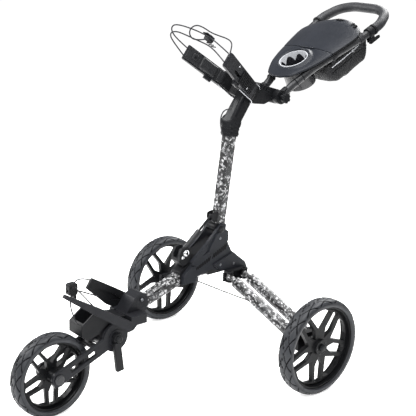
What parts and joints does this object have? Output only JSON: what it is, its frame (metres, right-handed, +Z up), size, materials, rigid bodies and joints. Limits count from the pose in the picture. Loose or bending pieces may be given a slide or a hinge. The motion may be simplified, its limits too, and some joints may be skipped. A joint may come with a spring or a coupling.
{
  "type": "golf push cart",
  "caption": "Folding three-wheel golf push cart with a jointed mast, upper and lower bag cradles with elastic cords, and a handle with console.",
  "frame": {"origin": "centre of the cart's box, on the ground", "axes": "+Z up, -Y forward towards the front wheel, +X across"},
  "size_m": [0.77, 1.3647, 1.0851],
  "materials": {
    "bag_fabric": "woven nylon",
    "black_metal": "satin powder coat",
    "black_plastic": "fine grained",
    "elastic_cord": "braided",
    "grey_plastic": "semi-gloss moulded",
    "grip_rubber": "soft touch",
    "pad_rubber": "matt",
    "printed_aluminium": "satin, black, white and grey print",
    "rim_plastic": "satin moulded",
    "silver_plastic": "satin silver",
    "steel": "brushed",
    "tyre_rubber": "matt foam tyre"
  },
  "bodies": {
    "frame": {"front_tube": "printed_aluminium", "hinge_core": "black_plastic", "hinge_plate_left": "grey_plastic", "hinge_plate_right": "grey_plastic", "hinge_screws": "steel", "mast_pin": "steel", "strut_anchor": "black_plastic", "leg_roots": "black_plastic", "front_clamp": "black_plastic", "lower_arm_wide": "black_plastic", "lower_arm_thin": "black_plastic", "base_tray": "black_plastic", "drum_housing": "black_plastic", "drum_pin": "steel", "lower_hook": "black_plastic", "lower_cord_top": "elastic_cord", "lower_cord_low": "elastic_cord", "brake_wire": "steel"},
    "mast": {"mast_tube": "printed_aluminium", "mast_foot": "black_plastic", "strut_lug": "black_plastic", "elbow_sleeve": "black_plastic", "upper_bracket": "black_plastic", "upper_arms": "black_plastic", "arm_pads": "pad_rubber", "pivot_housing": "black_plastic", "handle_pin": "steel", "upper_clip": "black_plastic", "upper_cord_top": "elastic_cord", "upper_cord_low": "elastic_cord", "upper_cord_slack": "elastic_cord", "mast_cable": "black_metal"},
    "handle": {"handle_tube": "black_metal", "handle_grip": "grip_rubber", "handle_knuckles": "black_plastic", "console_shell": "grey_plastic", "console_tray": "black_plastic", "cup_liner": "silver_plastic", "accessory_bag": "bag_fabric", "brake_clamp": "black_plastic"},
    "lid": {"console_lid": "grey_plastic"},
    "brake_trigger": {"brake_lever": "black_plastic"},
    "knob": {"lock_knob": "black_plastic"},
    "pedal": {"fold_pedal": "black_plastic"},
    "fork": {"fork": "black_metal", "front_axle": "steel"},
    "front_wheel": {"tyre_front": "tyre_rubber", "rim_front": "rim_plastic"},
    "leg_left": {"leg_front_left": "printed_aluminium"},
    "link_left": {"leg_rear_left": "printed_aluminium"},
    "hub_left": {"knuckle_left": "black_plastic"},
    "wheel_left": {"tyre_left": "tyre_rubber", "rim_left": "rim_plastic"},
    "leg_right": {"leg_front_right": "printed_aluminium"},
    "link_right": {"leg_rear_right": "printed_aluminium"},
    "hub_right": {"knuckle_right": "black_plastic"},
    "wheel_right": {"tyre_right": "tyre_rubber", "rim_right": "rim_plastic"},
    "strut_body": {"strut_cylinder": "black_metal"},
    "strut_piston": {"strut_rod": "black_metal"}
  },
  "joints": [
    {"name": "mast_fold", "type": "hinge", "parent": "frame", "child": "mast", "pos_m": [0, 0.02898, 0.44], "axis": [1, 0, 0], "range_deg": [0, 96], "deforming": ["upper_cord_top", "upper_cord_low", "upper_cord_slack", "mast_cable"]},
    {"name": "strut_swivel", "type": "hinge", "parent": "frame", "child": "strut_body", "pos_m": [0, -0.09602, 0.385], "axis": [1, 0, 0], "range_deg": [-16.43, 0]},
    {"name": "strut_slide", "type": "slide", "parent": "strut_body", "child": "strut_piston", "axis": [0, -0.7693, -0.6388], "range_m": [0, 0.04916]},
    {"name": "leg_fold_left", "type": "hinge", "parent": "frame", "child": "leg_left", "pos_m": [0.052, 0.05398, 0.288], "axis": [0, 0, -1], "range_deg": [0, 57], "deforming": ["brake_wire"]},
    {"name": "link_fold_left", "type": "hinge", "parent": "frame", "child": "link_left", "pos_m": [0.052, 0.11398, 0.288], "axis": [0, 0, -1], "range_deg": [0, 57]},
    {"name": "hub_turn_left", "type": "hinge", "parent": "leg_left", "child": "hub_left", "pos_m": [0.302, 0.09498, 0.161], "axis": [0, 0, -1], "range_deg": [-57, 0]},
    {"name": "wheel_spin_left", "type": "hinge", "parent": "hub_left", "child": "wheel_left", "pos_m": [0.36, 0.12898, 0.146], "axis": [1, 0, 0], "continuous": true},
    {"name": "leg_fold_right", "type": "hinge", "parent": "frame", "child": "leg_right", "pos_m": [-0.052, 0.05398, 0.288], "axis": [0, 0, 1], "range_deg": [0, 57]},
    {"name": "link_fold_right", "type": "hinge", "parent": "frame", "child": "link_right", "pos_m": [-0.052, 0.11398, 0.288], "axis": [0, 0, 1], "range_deg": [0, 57]},
    {"name": "hub_turn_right", "type": "hinge", "parent": "leg_right", "child": "hub_right", "pos_m": [-0.302, 0.09498, 0.161], "axis": [0, 0, 1], "range_deg": [-57, 0]},
    {"name": "wheel_spin_right", "type": "hinge", "parent": "hub_right", "child": "wheel_right", "pos_m": [-0.36, 0.12898, 0.146], "axis": [1, 0, 0], "continuous": true},
    {"name": "fork_fold", "type": "hinge", "parent": "frame", "child": "fork", "pos_m": [0, -0.37002, 0.195], "axis": [1, 0, 0], "range_deg": [0, 130]},
    {"name": "wheel_spin_front", "type": "hinge", "parent": "fork", "child": "front_wheel", "pos_m": [0, -0.56102, 0.12065], "axis": [1, 0, 0], "continuous": true},
    {"name": "pedal_press", "type": "hinge", "parent": "frame", "child": "pedal", "pos_m": [0.052, -0.37002, 0.195], "axis": [1, 0, 0], "range_deg": [0, 20], "stiffness_Nm_per_rad": 2, "springref_deg": -5.73},
    {"name": "handle_fold", "type": "hinge", "parent": "mast", "child": "handle", "pos_m": [0, 0.23898, 0.825], "axis": [1, 0, 0], "range_deg": [-110, 20]},
    {"name": "lock_knob_turn", "type": "hinge", "parent": "mast", "child": "knob", "pos_m": [0.068, 0.23898, 0.825], "axis": [1, 0, 0], "range_deg": [0, 180]},
    {"name": "lid_open", "type": "hinge", "parent": "handle", "child": "lid", "pos_m": [0, 0.39713, 0.95992], "axis": [1, 0, 0], "range_deg": [0, 80]},
    {"name": "brake_squeeze", "type": "hinge", "parent": "handle", "child": "brake_trigger", "pos_m": [0.118, 0.55912, 0.98531], "axis": [1, 0, 0], "range_deg": [0, 7], "stiffness_Nm_per_rad": 1, "springref_deg": -11.46}
  ],
  "couplings": [
    {"joint": "strut_swivel", "follows": "mast_fold", "ratio": -0.17113},
    {"joint": "strut_slide", "follows": "mast_fold", "m_per_rad": 0.029342},
    {"joint": "leg_fold_left", "follows": "mast_fold", "ratio": 0.59375},
    {"joint": "link_fold_left", "follows": "mast_fold", "ratio": 0.59375},
    {"joint": "hub_turn_left", "follows": "mast_fold", "ratio": -0.59375},
    {"joint": "leg_fold_right", "follows": "mast_fold", "ratio": 0.59375},
    {"joint": "link_fold_right", "follows": "mast_fold", "ratio": 0.59375},
    {"joint": "hub_turn_right", "follows": "mast_fold", "ratio": -0.59375}
  ]
}
